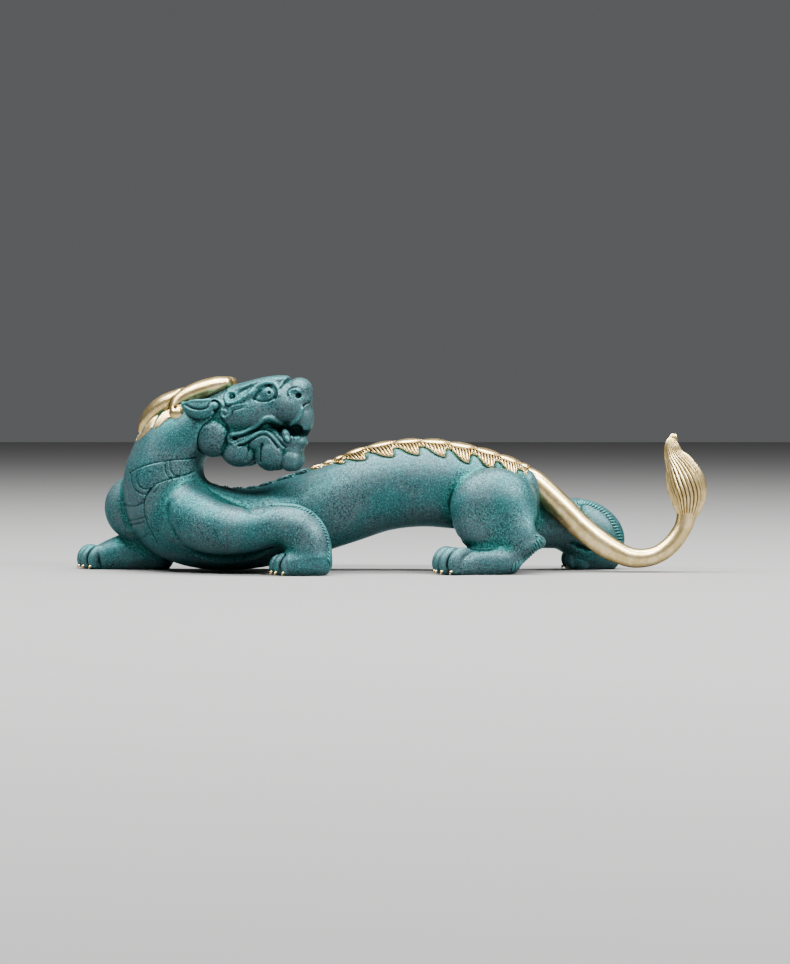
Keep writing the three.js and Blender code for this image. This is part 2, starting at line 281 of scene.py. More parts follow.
    def normals(self, points):
        """Directions straight out of the skin at points."""
        step = self.cell * 1.5
        slopes = [self.sample(points + step * axis) - self.sample(points - step * axis) for axis in np.eye(3)]
        slopes = np.stack(slopes, -1)
        return slopes / np.linalg.norm(slopes, axis=-1, keepdims=True)

    def mirrored(self):
        """The same clay with its other half, past y = 0, as its mirror image."""
        both = Clay.__new__(Clay)
        both.cell, both.first = self.cell, self.first
        both.depth = np.concatenate([self.depth, self.depth[:, -2::-1]], axis=1)
        both.shape = np.array(both.depth.shape)
        return both

    def skin(self):
        """The points and faces of the skin, and the fine and the broad relief at each point."""
        grid = openvdb.FloatGrid(REACH)
        grid.transform = openvdb.createLinearTransform(voxelSize=self.cell)
        grid.copyFromArray(np.clip(self.depth, -REACH, REACH), ijk=tuple(int(n) for n in self.first))
        points, quads = grid.convertToQuads(isovalue=0)
        points = points.astype(float)
        blurs = zip((1, 2), (FINE_RELIEF, BROAD_RELIEF))
        relief = [self.blurred(every, size).sample(points) / full for every, (size, full) in blurs]
        return points, quads.tolist(), np.clip(relief, -1, 1)

    def blurred(self, every, size):
        """The clay with its form blurred, in cells as wide as so many of these. On the skin a blurred form
        has values above 0 on ridges and below 0 in hollows."""
        soft = Clay.__new__(Clay)
        soft.cell = self.cell * every
        soft.first = self.first / every
        soft.depth = self.depth[::every, ::every, ::every]
        for axis in (0, 1, 2) * 2:
            soft.depth = spread(soft.depth, axis, round(size / soft.cell))
        soft.shape = np.array(soft.depth.shape)
        return soft


def spread(depth, axis, cells):
    """Each cell's mean with so many neighbours on both sides along an axis."""
    sums = np.cumsum(np.moveaxis(depth, axis, 0), axis=0, dtype=np.float64)
    count = len(sums)
    high = np.minimum(np.arange(count) + cells, count - 1)
    low = np.arange(count) - cells - 1
    below = np.where((low >= 0)[:, None, None], sums[np.maximum(low, 0)], 0)
    width = (high - np.maximum(low, -1))[:, None, None]
    return np.moveaxis(((sums[high] - below) / width).astype(np.float32), 0, axis)


# Stations of the trunk from the rump to the nape: x, y, z, half width and half depth
SPINE = [
    (65, -1, 35.5, 13.5, 16.5),
    (51, 0, 38.5, 16.5, 19),
    (34, 2, 41.7, 17.5, 20.6),
    (15, 3, 43.5, 17.5, 21.2),
    (-5, 4, 41.2, 18, 21.2),
    (-25, 5, 34.3, 18.5, 20.8),
    (-45, 5, 27.6, 18.5, 20.4),
    (-68, 4, 21.6, 18.5, 20),
    (-90, 3, 22, 19.5, 21.4),
    (-107.5, 3, 29, 20.5, 22.6),
    (-113.6, 3, 43, 19, 20.9),
    (-112.2, 3, 55, 18, 18.9),
    (-107.6, 2, 64, 16.5, 17.2),
    (-99.5, 0, 70.2, 15, 15),
    (-90, -3, 74.5, 13, 12.5),
]

body = Clay((-160, -44, -4), (122, 36, 92), cell=0.4)
body.limb(SPINE, fillet=3, start=0.7)
body.soften((-93, 2, 51), (15, 30, 15), size=2.4)


# Legs: all four are pressed on to the trunk with soft fillets. Two reach forward with their forearms
# flat on the ground, and two push from behind. Each paw has four toes, and a brass claw on each toe.

# Sizes of a paw are shares of its height. The stations of a toe and of the groove between two toes
# run from the instep over the knuckle to the ground: how far ahead, how high, half width and depth.
TOE = (
    (-0.95, 0.42, 0.13, 0.16),
    (-0.55, 0.66, 0.145, 0.2),
    (-0.27, 0.69, 0.16, 0.21),
    (-0.08, 0.55, 0.16, 0.21),
    (0.0, 0.33, 0.15, 0.2),
    (-0.06, 0.14, 0.13, 0.16),
)
TOE_GROOVE = ((-0.62, 0.82), (-0.36, 0.86), (-0.1, 0.74), (0.06, 0.5), (0.1, 0.28), (0.02, 0.06))
TOE_PITCH = 0.31
PALM = np.array((0.5, 0.56, 0.34))
PAD = np.array((0.34, 0.16, 0.3))

# Where each claw is to stand, and which way it points
claw_roots = []


def paw(spot, heading, height):
    """Four toes with pads, on a foot that points to heading, in degrees. The outer two are shorter."""
    turn = math.radians(heading)
    ahead = np.array((math.cos(turn), math.sin(turn), 0.0)) * height
    aside = np.array((-ahead[1], ahead[0], 0.0))
    palm = np.array((*spot, 0.33 * height)) - 0.55 * ahead
    body.egg(palm, PALM * height, fillet=1.5, turn=heading)
    for place in (-1.5, -0.5, 0.5, 1.5):
        outer = abs(place) > 1
        root = np.array((*spot, 0.0)) + aside * place * TOE_PITCH - ahead * 0.15 * outer
        toe = [
            (*(root + ahead * out + (0, 0, rise * height)), width * height, depth * height)
            for out, rise, width, depth in TOE
        ]
        body.limb(toe, fillet=0.4, sides=24)
        pad = root - ahead * 0.36 + (0, 0, 0.27 * height)
        body.egg(pad, PAD * height, fillet=0.6, turn=heading)
        claw_roots.append((root + ahead * 0.1 + (0, 0, 0.1 * height), ahead / height))
    for place in (-1, 0, 1):
        root = np.array((*spot, 0.0)) + aside * place * TOE_PITCH - ahead * 0.08 * abs(place)
        groove = [root + ahead * out + (0, 0, rise * height) for out, rise in TOE_GROOVE]
        body.score(smooth_line(groove), width=1.1, depth=0.7, fade=0.2)


# Near foreleg
body.limb([
    (-103, -13, 29, 11, 14.5),
    (-87, -19, 23, 11.5, 13),
    (-71, -23, 22, 11, 11),
    (-57, -26, 24.5, 10, 10),
    (-47, -27, 24, 10, 10.5),
], fillet=5, start=0.8)
body.limb([
    (-46, -27, 23, 10, 10.5),
    (-41.5, -28, 16, 9.5, 11.5),
    (-40.5, -29, 8, 8.5, 10.5),
], fillet=3, start=0.8, end=0)
body.limb([
    (-37, -29, 6, 8, 7.4),
    (-45, -29.5, 5.4, 8.6, 7.2),
    (-51, -30, 5.2, 7.4, 6.6),
], fillet=3, start=1.1, end=0.2)
paw((-56.4, -31), heading=212, height=12.6)

# Far foreleg
body.egg((-128.4, 14, 31.4), (16.4, 12, 16.8), fillet=3)
body.limb([(-122, 12, 26, 11, 14), (-117, 17, 12, 9.5, 9.5)], fillet=4, end=0.9)
body.limb([
    (-116, 19, 7.4, 8, 8.8),
    (-128, 20, 9, 9.5, 10.8),
    (-138, 21, 7.4, 9, 9.4),
    (-147, 20.5, 5.4, 6.6, 7.2),
], fillet=3, start=0.8, end=0.2)
paw((-156, 20), heading=213, height=13.4)

# Near hind leg
body.egg((50.5, -14, 32.5), (21.8, 12.5, 19.5), fillet=3, tilt=10)
body.egg((45.5, -17.4, 21.5), (12, 9.4, 10.5), fillet=5)
body.soften((47, -24, 25), (16, 12, 14), size=2.0)
body.limb([
    (54, -16, 27, 9, 15),
    (61.5, -18.5, 19.5, 9, 13.5),
    (65.5, -20.5, 12.8, 7.5, 9.6),
], fillet=4, start=0.8, end=0.6)
body.egg((72.5, -20.5, 16), (3.8, 4, 3), fillet=3, tilt=-20)
body.limb([
    (58.5, -21, 7.4, 7, 7.4),
    (51, -22, 6.4, 7.5, 7.8),
    (41, -22, 5.6, 7.2, 7.6),
    (32, -24, 5.2, 7.4, 7.2),
], fillet=3, start=0.8, end=0.2)
paw((24.9, -26), heading=214, height=15)
body.egg((75, -20, 24.2), (4.4, 10, 5), fillet=2, cut=True)

# Far hind leg
body.egg((98.5, 18, 19), (20.5, 10, 15.5), fillet=3, tilt=-28)
body.limb([
    (54, 6, 34, 13.5, 16.5),
    (74, 11, 25.5, 12.5, 14.2),
    (92, 15.5, 23, 10.5, 12),
], fillet=4, start=0.8, end=0)
body.limb([
    (111, 20, 6.6, 6.6, 7),
    (100, 20.5, 6.6, 7.6, 7.8),
    (93, 20.5, 6, 7.4, 7.6),
], fillet=3, start=0.8, end=0.3)
paw((88.8, 21.5), heading=178, height=14)

# Lines cut in the wax of the body before it was cast: the belly band of the neck with its plates, the
# edge of the chest, the round of the shoulder, the creases above and below the near upper arm, the
# round of the thigh, and the instep of the far hind leg.
NECK_BAND = [
    [(-130.8, 50.1), (-126.5, 52.6), (-120, 54.7), (-110.8, 56.4), (-102.2, 56.9), (-97, 57.8)],
    [(-120, 42.4), (-116.5, 45.1), (-109.3, 47.4), (-102.2, 49.2), (-98.4, 51)],
    [(-130.6, 50), (-129.8, 45.1), (-127.9, 41.5), (-124.3, 39.4), (-121.8, 40.1), (-120, 42.4)],
    [(-127.5, 49.6), (-127.2, 45.4), (-125.4, 42.9), (-122.9, 41.9), (-120.6, 42.4)],
    [(-113, 55.4), (-113.2, 51.5), (-111.8, 48.3), (-110.4, 47.2)],
    [(-110.8, 56.2), (-110.8, 52.6), (-109.3, 49.4), (-106.1, 48.2)],
]
NECK_PLATES = [
    [(-131.6, 26.1), (-128.5, 26.6), (-125.8, 27.2), (-123.6, 28)],
    [(-130.4, 24.0), (-127, 24.6), (-123.6, 25.8)],
    [(-134, 34.4), (-130.5, 33.4), (-127, 33.8), (-124, 35.4)],
    [(-127.4, 16.4), (-124.5, 17.6), (-121.6, 20)],
]
CHEST_EDGE = [(-120, 42.2), (-122.9, 37.9), (-123.8, 31.5), (-121.8, 24.4), (-117.2, 15.1)]
SHOULDER_EDGE = [(-109.3, 40.1), (-112, 32.9), (-111.6, 25.8), (-107.2, 17.9), (-99.3, 11.5)]
SHOULDER_TOP = [(-98, 45), (-103.6, 43.4), (-109.3, 38.6), (-113.4, 32.4), (-113.6, 25.6)]
ARM_UNDERSIDE = [(-110, 18.9), (-99.3, 10.9), (-87.9, 7.4), (-73.6, 7.8), (-62.2, 11.6), (-56, 14.6)]
ARM_CREASE = [
    (-96.5, 47.9), (-90.8, 41.5), (-82.2, 36.5), (-73.6, 32.9),
    (-70, 30.4), (-66.5, 29.7), (-64.3, 31.5), (-65.4, 33.6),
]
THIGH_EDGE = [
    (36, 48), (31, 42.2), (28.5, 35), (29.2, 30), (31, 23),
    (34.6, 16.5), (40.3, 12.6), (46.8, 11.9), (52.5, 12.9), (58.9, 15.4),
]
FAR_INSTEP = [(87.6, 15.2), (90.4, 14.6), (94, 12.9), (98, 11.6), (102, 10.4)]
for line in NECK_BAND + NECK_PLATES + [CHEST_EDGE]:
    body.score(body.seen(line), width=0.8, depth=0.5)
body.score(body.seen(ARM_UNDERSIDE), width=4.0, depth=1.8, fade=0.35)
body.score(body.seen(SHOULDER_EDGE), width=3.2, depth=0.9, fade=0.3)
body.score(body.seen(SHOULDER_TOP), width=1.8, depth=-0.35, fade=0.3)
body.score(body.seen(ARM_CREASE), width=2.4, depth=0.5, fade=0.2)
body.score(body.seen(THIGH_EDGE), width=2.2, depth=0.6, fade=0.2)
body.score(body.seen(FAR_INSTEP), width=2.4, depth=1.5, fade=0.3)

# The socket for the round hinge of the jaw, turned as the head is, and the flat soles
body.egg((-88.2, -8.9, 68.2), (10, 8.9, 11.4), fillet=0.5, turn=-18, cut=True)
under_ground = -(body.first[2] + np.arange(body.shape[2])) * body.cell
body.depth = np.maximum(body.depth, under_ground)


def cast(name, points, faces, relief, finish, most=190000):
    """A piece of the casting as a smooth mesh in the frame, with at most so many triangles."""
    mesh = bpy.data.meshes.new(name)
    mesh.from_pydata((points + DRAWING_ZERO) * MM, [], faces)
    for label, values in zip(("relief", "broad_relief"), relief):
        mesh.attributes.new(label, "FLOAT", "POINT").data.foreach_set("value", values.astype(np.float32))
    made = bpy.data.objects.new(name, mesh)
    bpy.context.scene.collection.objects.link(made)
    mesh.materials.append(finish)
    triangles = len(mesh.loops) - 2 * len(mesh.polygons)
    if triangles > most:
        fewer = made.modifiers.new("fewer", "DECIMATE")
        fewer.ratio = most / triangles
        thinned = bpy.data.meshes.new_from_object(made.evaluated_get(bpy.context.evaluated_depsgraph_get()))
        made.modifiers.clear()
        made.data = thinned
        bpy.data.meshes.remove(mesh)
        thinned.name = name
    made.data.shade_smooth()
    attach(made, "root")
    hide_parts("pixiu")


# Patina: the blue-green skin that acid and heat give to the body. Its hollows are darkened with painted
# shade, its broad hollows turn a greener teal that is partly patina and partly painted shade, its ridges are
# paler where it is rubbed and where a highlight is painted, and it is grained with specks that gather in
# swarms. Helpers for both finishes are here.
def add_node(tree, kind, operation=None, **values):
    """A shader node with its inputs set by name: a number, a colour, or another node's output."""
    made = tree.nodes.new("ShaderNode" + kind)
    if operation:
        made.operation = operation
    if kind == "Mix":
        made.data_type = "RGBA"
    for name, value in values.items():
        name = name.replace("_", " ")
        named = [socket for socket in made.inputs if socket.name == name and socket.enabled]
        socket = named[0] if named else made.inputs[int(name[-1])]
        if isinstance(value, bpy.types.NodeSocket):
            tree.links.new(value, socket)
        else:
            socket.default_value = value
    return made


def ramp(tree, value, low, high, bottom=0.0, top=1.0):
    """Changes a value smoothly from bottom to top as it goes from low to high."""
    made = add_node(tree, "MapRange", Value=value)
    made.interpolation_type = "SMOOTHSTEP"
    for name, number in (("From Min", low), ("From Max", high), ("To Min", bottom), ("To Max", top)):
        made.inputs[name].default_value = number
    return made.outputs["Result"]


def blended(tree, share, first, second):
    """Two colours mixed by a share."""
    return add_node(tree, "Mix", Factor=share, A=first, B=second).outputs["Result"]


def cast_surface_group():
    """What every cast and hand-finished surface here shows: painted shade in the hollows, green patina
    and painted shade in the broad hollows, rubbed edges with a painted highlight, mottling and pits.
    """
    group = bpy.data.node_groups.new("cast surface", "ShaderNodeTree")
    for name, start in (("Mottle Scale", 300.0), ("Pit Scale", 1500.0)):
        group.interface.new_socket(name, in_out="INPUT", socket_type="NodeSocketFloat").default_value = start
    for name in ("Hollow Shade", "Valley Patina And Shade", "Edge Wear And Highlight", "Mottle", "Pits", "Height"):
        group.interface.new_socket(name, in_out="OUTPUT", socket_type="NodeSocketFloat")
    given = group.nodes.new("NodeGroupInput").outputs
    result = group.nodes.new("NodeGroupOutput").inputs
    fine = add_node(group, "Attribute")
    fine.attribute_name = "relief"
    broad = add_node(group, "Attribute")
    broad.attribute_name = "broad_relief"
    fine, broad = fine.outputs["Fac"], broad.outputs["Fac"]
    places = group.nodes.new("ShaderNodeTexCoord").outputs["Object"]
    mottle = add_node(
        group, "TexNoise", Vector=places, Scale=given["Mottle Scale"], Detail=5.0, Roughness=0.62
    ).outputs["Fac"]
    pits = add_node(
        group, "TexNoise", Vector=places, Scale=given["Pit Scale"], Detail=2.0, Roughness=0.5
    ).outputs["Fac"]
    # Hollow Shade: painted shade, strongest in the fine hollows and creases
    group.links.new(ramp(group, fine, low=-0.3, high=-1.0, top=0.9), result["Hollow Shade"])
    # Valley Patina And Shade: the broad hollows, where green patina gathers and shade is painted
    group.links.new(ramp(group, broad, low=0.1, high=-0.5), result["Valley Patina And Shade"])
    # Edge Wear And Highlight: the ridges, paler where rubbed and where a highlight is painted
    group.links.new(ramp(group, fine, low=0.15, high=1.0, top=0.6), result["Edge Wear And Highlight"])
    group.links.new(ramp(group, mottle, low=0.44, high=0.62), result["Mottle"])
    group.links.new(ramp(group, pits, low=0.5, high=0.68, top=0.6), result["Pits"])
    group.links.new(pits, result["Height"])
    return group


cast_surface = cast_surface_group()


def new_material(name):
    """A new material with its nodes and its shader."""
    material = bpy.data.materials.new(name)
    material.use_nodes = True
    return material, material.node_tree, material.node_tree.nodes["Principled BSDF"]


def surface_of(tree, mottle_scale, pit_scale):
    """The cast surface's outputs, with its two grains at a material's own scales."""
    made = tree.nodes.new("ShaderNodeGroup")
    made.node_tree = cast_surface
    made.inputs["Mottle Scale"].default_value = mottle_scale
    made.inputs["Pit Scale"].default_value = pit_scale
    return made.outputs


PATINA = (0.0138, 0.062, 0.067, 1)
PATINA_GREY = (0.04, 0.065, 0.074, 1)
# Greener teal of the broad hollows: partly patina, partly painted shade
PATINA_GREEN_AND_SHADE = (0.001, 0.067, 0.06, 1)
PATINA_GRAIN = (0.004, 0.0135, 0.016, 1)
PATINA_PALE_GRAIN = (0.05, 0.2, 0.2, 1)
# Paler teal of the ridges: partly rubbed wear, partly painted highlight
PATINA_RUBBED_AND_HIGHLIT = (0.032, 0.14, 0.14, 1)
# Painted shade: a near-black teal for the hollows and creases
PATINA_HOLLOW_SHADE = (0.0006, 0.005, 0.006, 1)
patina, tree, shader = new_material("patina")
surface = surface_of(tree, mottle_scale=1000.0, pit_scale=1700.0)
places = tree.nodes.new("ShaderNodeTexCoord").outputs["Object"]
clouds = add_node(tree, "TexNoise", Vector=places, Scale=40.0, Detail=3.0, Roughness=0.6)
swarms = add_node(tree, "TexNoise", Vector=places, Scale=75.0, Detail=4.0, Roughness=0.65)
swarms = ramp(tree, swarms.outputs["Fac"], low=0.42, high=0.66, bottom=0.25, top=0.9)
# The dark grains gather in swarms and thicken in the broad hollows, adding to the painted shade there
dense = add_node(tree, "Math", "ADD", Value0=swarms, Value1=surface["Valley Patina And Shade"])
dense.use_clamp = True
grains = add_node(tree, "Math", "MULTIPLY", Value0=surface["Mottle"], Value1=dense.outputs["Value"])
colour = blended(tree, ramp(tree, clouds.outputs["Fac"], low=0.35, high=0.62), PATINA, PATINA_GREY)
# Green patina and painted shade in the broad hollows
colour = blended(tree, surface["Valley Patina And Shade"], colour, PATINA_GREEN_AND_SHADE)
# Rubbed wear and painted highlight on the ridges
colour = blended(tree, surface["Edge Wear And Highlight"], colour, PATINA_RUBBED_AND_HIGHLIT)
colour = blended(tree, grains.outputs["Value"], colour, PATINA_GRAIN)
colour = blended(tree, surface["Pits"], colour, PATINA_PALE_GRAIN)
# Painted shade in the hollows and creases
colour = blended(tree, surface["Hollow Shade"], colour, PATINA_HOLLOW_SHADE)
roughness = ramp(tree, surface["Mottle"], low=0.0, high=1.0, bottom=0.43, top=0.53)
tree.links.new(colour, shader.inputs["Base Color"])
tree.links.new(roughness, shader.inputs["Roughness"])
shader.inputs["Metallic"].default_value = 0.5
shader.inputs["Specular IOR Level"].default_value = 0.15
shader.inputs["Specular Tint"].default_value = (0.6, 0.92, 0.95, 1)
bump = add_node(tree, "Bump", Strength=0.35, Distance=0.0002, Height=surface["Height"])
tree.links.new(bump.outputs["Normal"], shader.inputs["Normal"])


# Head: drawn looking along +X round its own axis, the same on both sides, and turned towards -Y
# on the neck. It is cast with the body. Only its near half is pressed in clay, and the other half
# mirrors it.
HEAD_AXIS = np.array((-70.0, -8.0, 0.0))
HEAD_TURN = math.radians(18)
HEAD_CELL = 0.3
turn_cos, turn_sin = math.cos(HEAD_TURN), math.sin(HEAD_TURN)
head_turning = np.array(((turn_cos, -turn_sin, 0), (turn_sin, turn_cos, 0), (0, 0, 1)))


def to_head(places):
    """Places of the drawing, as the head's own places."""
    return (places - HEAD_AXIS) @ head_turning.T


def from_head(places):
    """The head's own places, as places of the drawing."""
    return places @ head_turning + HEAD_AXIS


head = Clay((-38, -22, 44), (40, 0, 104), HEAD_CELL)


def head_line(points, lift=0.0):
    """Where a line that the camera sees lies on the head."""
    return head.seen(points, to_head, lift)


def head_spot(x, z):
    """Where a spot that the camera sees lies on the head."""
    return head.seen([(x, z), (x + 0.01, z)], to_head)[0]


# Crown, forehead, nose and lower jaw
head.limb([
    (-22, 0, 76, 12, 12),
    (-12, 0, 79, 12.5, 13),
    (0, 0, 81, 12.5, 13.4),
    (11, 0, 83.8, 11.5, 12),
    (20, 0, 85.4, 10, 10.4),
    (25.4, 0, 86.4, 8.5, 8.8),
], fillet=2)
head.limb([
    (-9, 0, 90, 8, 2.5),
    (5, 0, 93.6, 8, 3),
    (14, 0, 95.3, 6.5, 2.8),
    (19, 0, 96.2, 4.5, 1.8),
], fillet=2)
head.egg((26, 0, 91), (6.2, 7.5, 6), fillet=1.2)
head.egg((26.4, 0, 78.2), (6.5, 7, 6.5), fillet=1.5)
head.limb([
    (-19, 0, 69, 10.5, 9),
    (0, 0, 67, 11, 9.5),
    (10, 0, 66, 10, 8.5),
    (18, 0, 63.5, 8, 6.5),
    (24, 0, 61.5, 6, 4.6),
], fillet=2)

# Cheek, muzzle, the three lobes of the beard under the jaw, and the round of the jaw's hinge
head.egg((2, -7.5, 78.5), (15, 5.5, 6.4), fillet=2.5, tilt=8)
head.egg((21, -5, 82.2), (8.4, 5.8, 6.8), fillet=2)
head.egg((-4, -5, 60.2), (9.5, 6.5, 7.6), fillet=0.8)
head.egg((12, -4, 59.6), (8.4, 6.5, 8.8), fillet=0.8)
head.egg((21.8, -2.6, 56.6), (5.6, 4.8, 6), fillet=0.8)
head.egg((-17, -6.5, 68.2), (9.6, 8.4, 11), fillet=0.5)

# Front lip under the nose, and the open mouth at each side of it, with a tusk, tongue and lower teeth
MOUTH_MIDDLE = np.array((23.0, 0.0, 71.2))
MOUTH_HOLLOW = (9, 5.6, 4.6)
TUSK = [(-52.4, 73.0), (-52.9, 71.4), (-52.9, 69.6), (-52.3, 67.6), (-51.7, 66.2)]
LOWER_TEETH = ((-50.0, 67.4), (-48.2, 67.0), (-46.6, 67.2))
head.egg((28.3, 0, 75.4), (4.6, 5.4, 6.2), fillet=1.2)
head.egg((23.8, 0, 65.4), (6.2, 6.4, 3.6), fillet=1.5)
head.egg(MOUTH_MIDDLE + (0.8, -6.4, -0.4), (5.8, 5.2, 3.3), fillet=0.6, tilt=14, cut=True)
head.roll(head_line(TUSK, lift=2.0), (1.5, 2.0, 2.1, 1.7, 1.0), fillet=0.3)
head.egg((21, 0, 71), (10, 2.4, 6.5), fillet=1.0)
for x, z in LOWER_TEETH:
    head.egg(head_spot(x, z), (0.9, 0.9, 1.2), fillet=0.3)

# Lips
UPPER_LIP = [
    (-79.3, 69.3), (-74.0, 70.2), (-68.6, 72.9), (-63.7, 76.9), (-60.5, 77.6),
    (-57.0, 76.1), (-52.5, 74.2), (-48.1, 76.1), (-46.0, 79.0), (-44.6, 83.0),
]
LOWER_LIP = [
    (-78.4, 63.6), (-73.1, 65.8), (-69.9, 68.0), (-66.0, 70.2),
    (-62.5, 70.4), (-59.4, 68.0), (-57.0, 65.2), (-54.4, 62.4),
]
head.roll(head_line(UPPER_LIP, lift=0.3), (0.9, 1.0, 1.1, 1.2, 1.3, 1.3, 0.9), fillet=0.8)
head.roll(head_line(LOWER_LIP), (0.7, 0.8, 0.8, 0.7, 0.6), fillet=0.6)

# Eye under its heavy brow
EYE_TOP = [
    (-69.0, 87.2), (-67.4, 89.3), (-65.4, 91.4), (-63.2, 92.9),
    (-60.8, 93.2), (-58.6, 91.9), (-57.7, 89.6), (-58.4, 87.7),
]
EYE_LOW = [(-68.6, 87.0), (-67.2, 86.2), (-65.0, 85.8), (-62.4, 86.0), (-60.1, 86.7), (-58.4, 87.7)]
BROW = [
    (-81.8, 84.9), (-79.3, 84.9), (-75.8, 86.3), (-72.6, 88.2), (-69.9, 90.2), (-67.3, 92.8),
    (-65.0, 94.3), (-62.8, 95.0), (-60.1, 95.0), (-57.7, 93.9), (-56.4, 91.7), (-56.4, 88.9),
]
PUPIL = (-61.3, 90.2)
head.egg(head_spot(-62.2, 89.6) + (0, 1.6, 0), (4.4, 3.0, 3.5), fillet=1.0)
head.roll(head_line(BROW), (0.9, 1.3, 1.6, 1.6, 1.4, 1.1, 0.7), fillet=0.8)
head.score(head_line(EYE_TOP), width=1.4, depth=1.3)
head.score(head_line(EYE_LOW), width=0.9, depth=0.6)
head.egg(head_spot(*PUPIL), (1.0, 1.0, 1.0), fillet=0.3, cut=True)


def ring_line(centre, radius, start=0.0, end=360.0):
    """Points of a ring, or of a part of one between two angles, as the camera sees it."""
    turn = np.radians(np.linspace(start, end, 14))
    return [(centre[0] + radius * math.cos(a), centre[1] + radius * math.sin(a)) for a in turn]


head.score(head_line(ring_line(PUPIL, 1.9)), width=0.6, depth=0.35)

# Forehead, bridge and nose
FOREHEAD_CREASE = [(-77.5, 89.4), (-74.0, 91.7), (-70.4, 93.5), (-66.8, 95.2), (-62.8, 96.6), (-59.2, 96.9)]
BRIDGE_CREASE = [(-51.2, 97.0), (-52.8, 95.7), (-54.3, 94.1), (-55.7, 92.3), (-56.2, 90.5)]
BRIDGE_FOLD = [(-52.9, 97.0), (-54.5, 95.2), (-56.0, 93.0)]
NOSTRIL = (-46.6, 88.7)
NOSTRIL_WING = [(-50.6, 88.2), (-50.9, 89.9), (-49.8, 91.2), (-48.0, 91.6), (-46.2, 91.0)]
WING_CREASE = [(-51.8, 88.4), (-52.0, 90.8), (-50.0, 92.4), (-47.6, 92.9)]
NOSE_CREASE = [(-40.6, 85.4), (-42.7, 84.5), (-44.2, 83.2)]
head.score(head_line(FOREHEAD_CREASE), width=1.2, depth=0.5)
head.score(head_line(BRIDGE_CREASE), width=1.0, depth=0.9)
head.roll(head_line(BRIDGE_FOLD), (0.4, 0.5, 0.4), fillet=0.5)
head.egg(head_spot(*NOSTRIL), (1.5, 2.2, 1.4), fillet=0.6, cut=True)
head.roll(head_line(NOSTRIL_WING), (0.5, 0.8, 0.8, 0.6), fillet=0.6)
head.score(head_line(WING_CREASE), width=0.8, depth=0.5)
head.score(head_line(NOSE_CREASE), width=1.2, depth=0.8)

# The curl behind the brow, and the small curl on the temple
BROW_CURL = [(-81.8, 84.9), (-82.9, 86.6), (-82.6, 89.0), (-81.0, 90.4), (-78.8, 90.6)]
TEMPLE_CURL = [
    (-72.2, 84.4), (-75.8, 83.9), (-78.4, 83.4), (-80.7, 82.3), (-81.1, 80.6), (-81.4, 78.9),
    (-83.1, 77.7), (-84.7, 78.6), (-84.7, 80.4), (-83.4, 81.2), (-82.6, 80.2),
]
TEMPLE_CREASE = [(-70.6, 83.2), (-75.6, 82.2), (-79.2, 81.2), (-79.6, 79.2), (-80.6, 76.8)]
head.egg(head_spot(-79.8, 88.4), (1.9, 1.6, 1.6), fillet=0.5, cut=True)
head.egg(head_spot(-79.6, 88.4) + (0, 0.3, 0), (0.9, 0.9, 0.8), fillet=0.3)
head.roll(head_line(BROW_CURL), (1.1, 0.9, 0.7, 0.5), fillet=0.7)
head.roll(head_line(TEMPLE_CURL), (0.3, 0.5, 0.65, 0.75, 0.75, 0.7, 0.6), fillet=0.4)
head.score(head_line(TEMPLE_CREASE), width=0.9, depth=0.45, fade=0.3)

# Ear: a leaf of two folds that runs back from a curled bead
EAR_TOP = [
    (-103.6, 84.8), (-99.6, 86.0), (-94.6, 86.2), (-89.6, 86.7), (-86.0, 86.0), (-84.0, 83.4), (-84.8, 81.4),
]
EAR_FOLD = [
    (-103, 84), (-99.6, 82.3), (-95.8, 81.8), (-92.4, 82.6), (-91.3, 84.4), (-89.8, 85.4), (-88, 85.4),
]
EAR_BEAD = (-88.9, 83.6)
head.limb([
    (-31, -13.6, 84.2, 1, 1),
    (-27, -15.2, 82.2, 1.8, 3.4),
    (-21, -15.6, 81.4, 2, 4.8),
    (-15.5, -13.8, 82.2, 1.8, 4.0),
], fillet=0.8, start=0.6)
head.roll(head_line(EAR_TOP), (0.4, 0.7, 0.8, 0.8, 0.7), fillet=0.7)
head.score(head_line(EAR_FOLD), width=1.0, depth=1.1)
head.egg(head_spot(*EAR_BEAD) + (0, 0.4, 0), (2.0, 1.8, 2.0), fillet=0.3)
head.score(head_line(ring_line(EAR_BEAD, 2.6, -100, 80)), width=0.8, depth=0.7)

# The crease at the jaw's hinge, the curl at the corner of the mouth, the creases along the lips,
# and the folds of the beard
HINGE_CREASE = [
    (-85.1, 77.4), (-83.1, 74.7), (-81.8, 72.0), (-81.6, 69.4), (-82.9, 65.8), (-84.2, 63.6), (-85.3, 61.3),
]
MOUTH_CORNER = (-78.6, 67.2)
CORNER_CURL = [(-79.3, 69.3), (-80.9, 68.5), (-81.3, 66.9), (-80.6, 65.4), (-79.0, 64.9), (-77.8, 65.6)]
BETWEEN_LIPS = [
    (-76.8, 67.8), (-73.0, 68.9), (-69.0, 71.0), (-65.0, 73.6), (-61.0, 74.6), (-57.6, 72.6), (-55.4, 69.4),
]
UNDER_LIP = [
    (-76.4, 63.6), (-72.4, 64.8), (-69.0, 66.9), (-65.4, 68.8), (-62.6, 68.8), (-59.8, 66.4), (-56.8, 62.6),
]
CHIN_CREASE = [(-61.4, 71.4), (-58.6, 69.8), (-55.8, 66.0), (-52.8, 62.7)]
BACK_BEARD_FOLD = [(-71.1, 65.3), (-71.5, 63.6), (-71.5, 61.3), (-72.2, 58.6), (-72.6, 56.4)]
FRONT_BEARD_FOLD = [(-64.6, 64.4), (-65.4, 62.2), (-65.6, 60.0), (-65.8, 57.3), (-65.5, 55.6)]
head.score(head_line(HINGE_CREASE), width=1.4, depth=0.4)
head.egg(head_spot(*MOUTH_CORNER), (1.4, 1.4, 1.1), fillet=0.5, cut=True)
head.roll(head_line(CORNER_CURL), (1.0, 0.9, 0.7, 0.5), fillet=0.6)
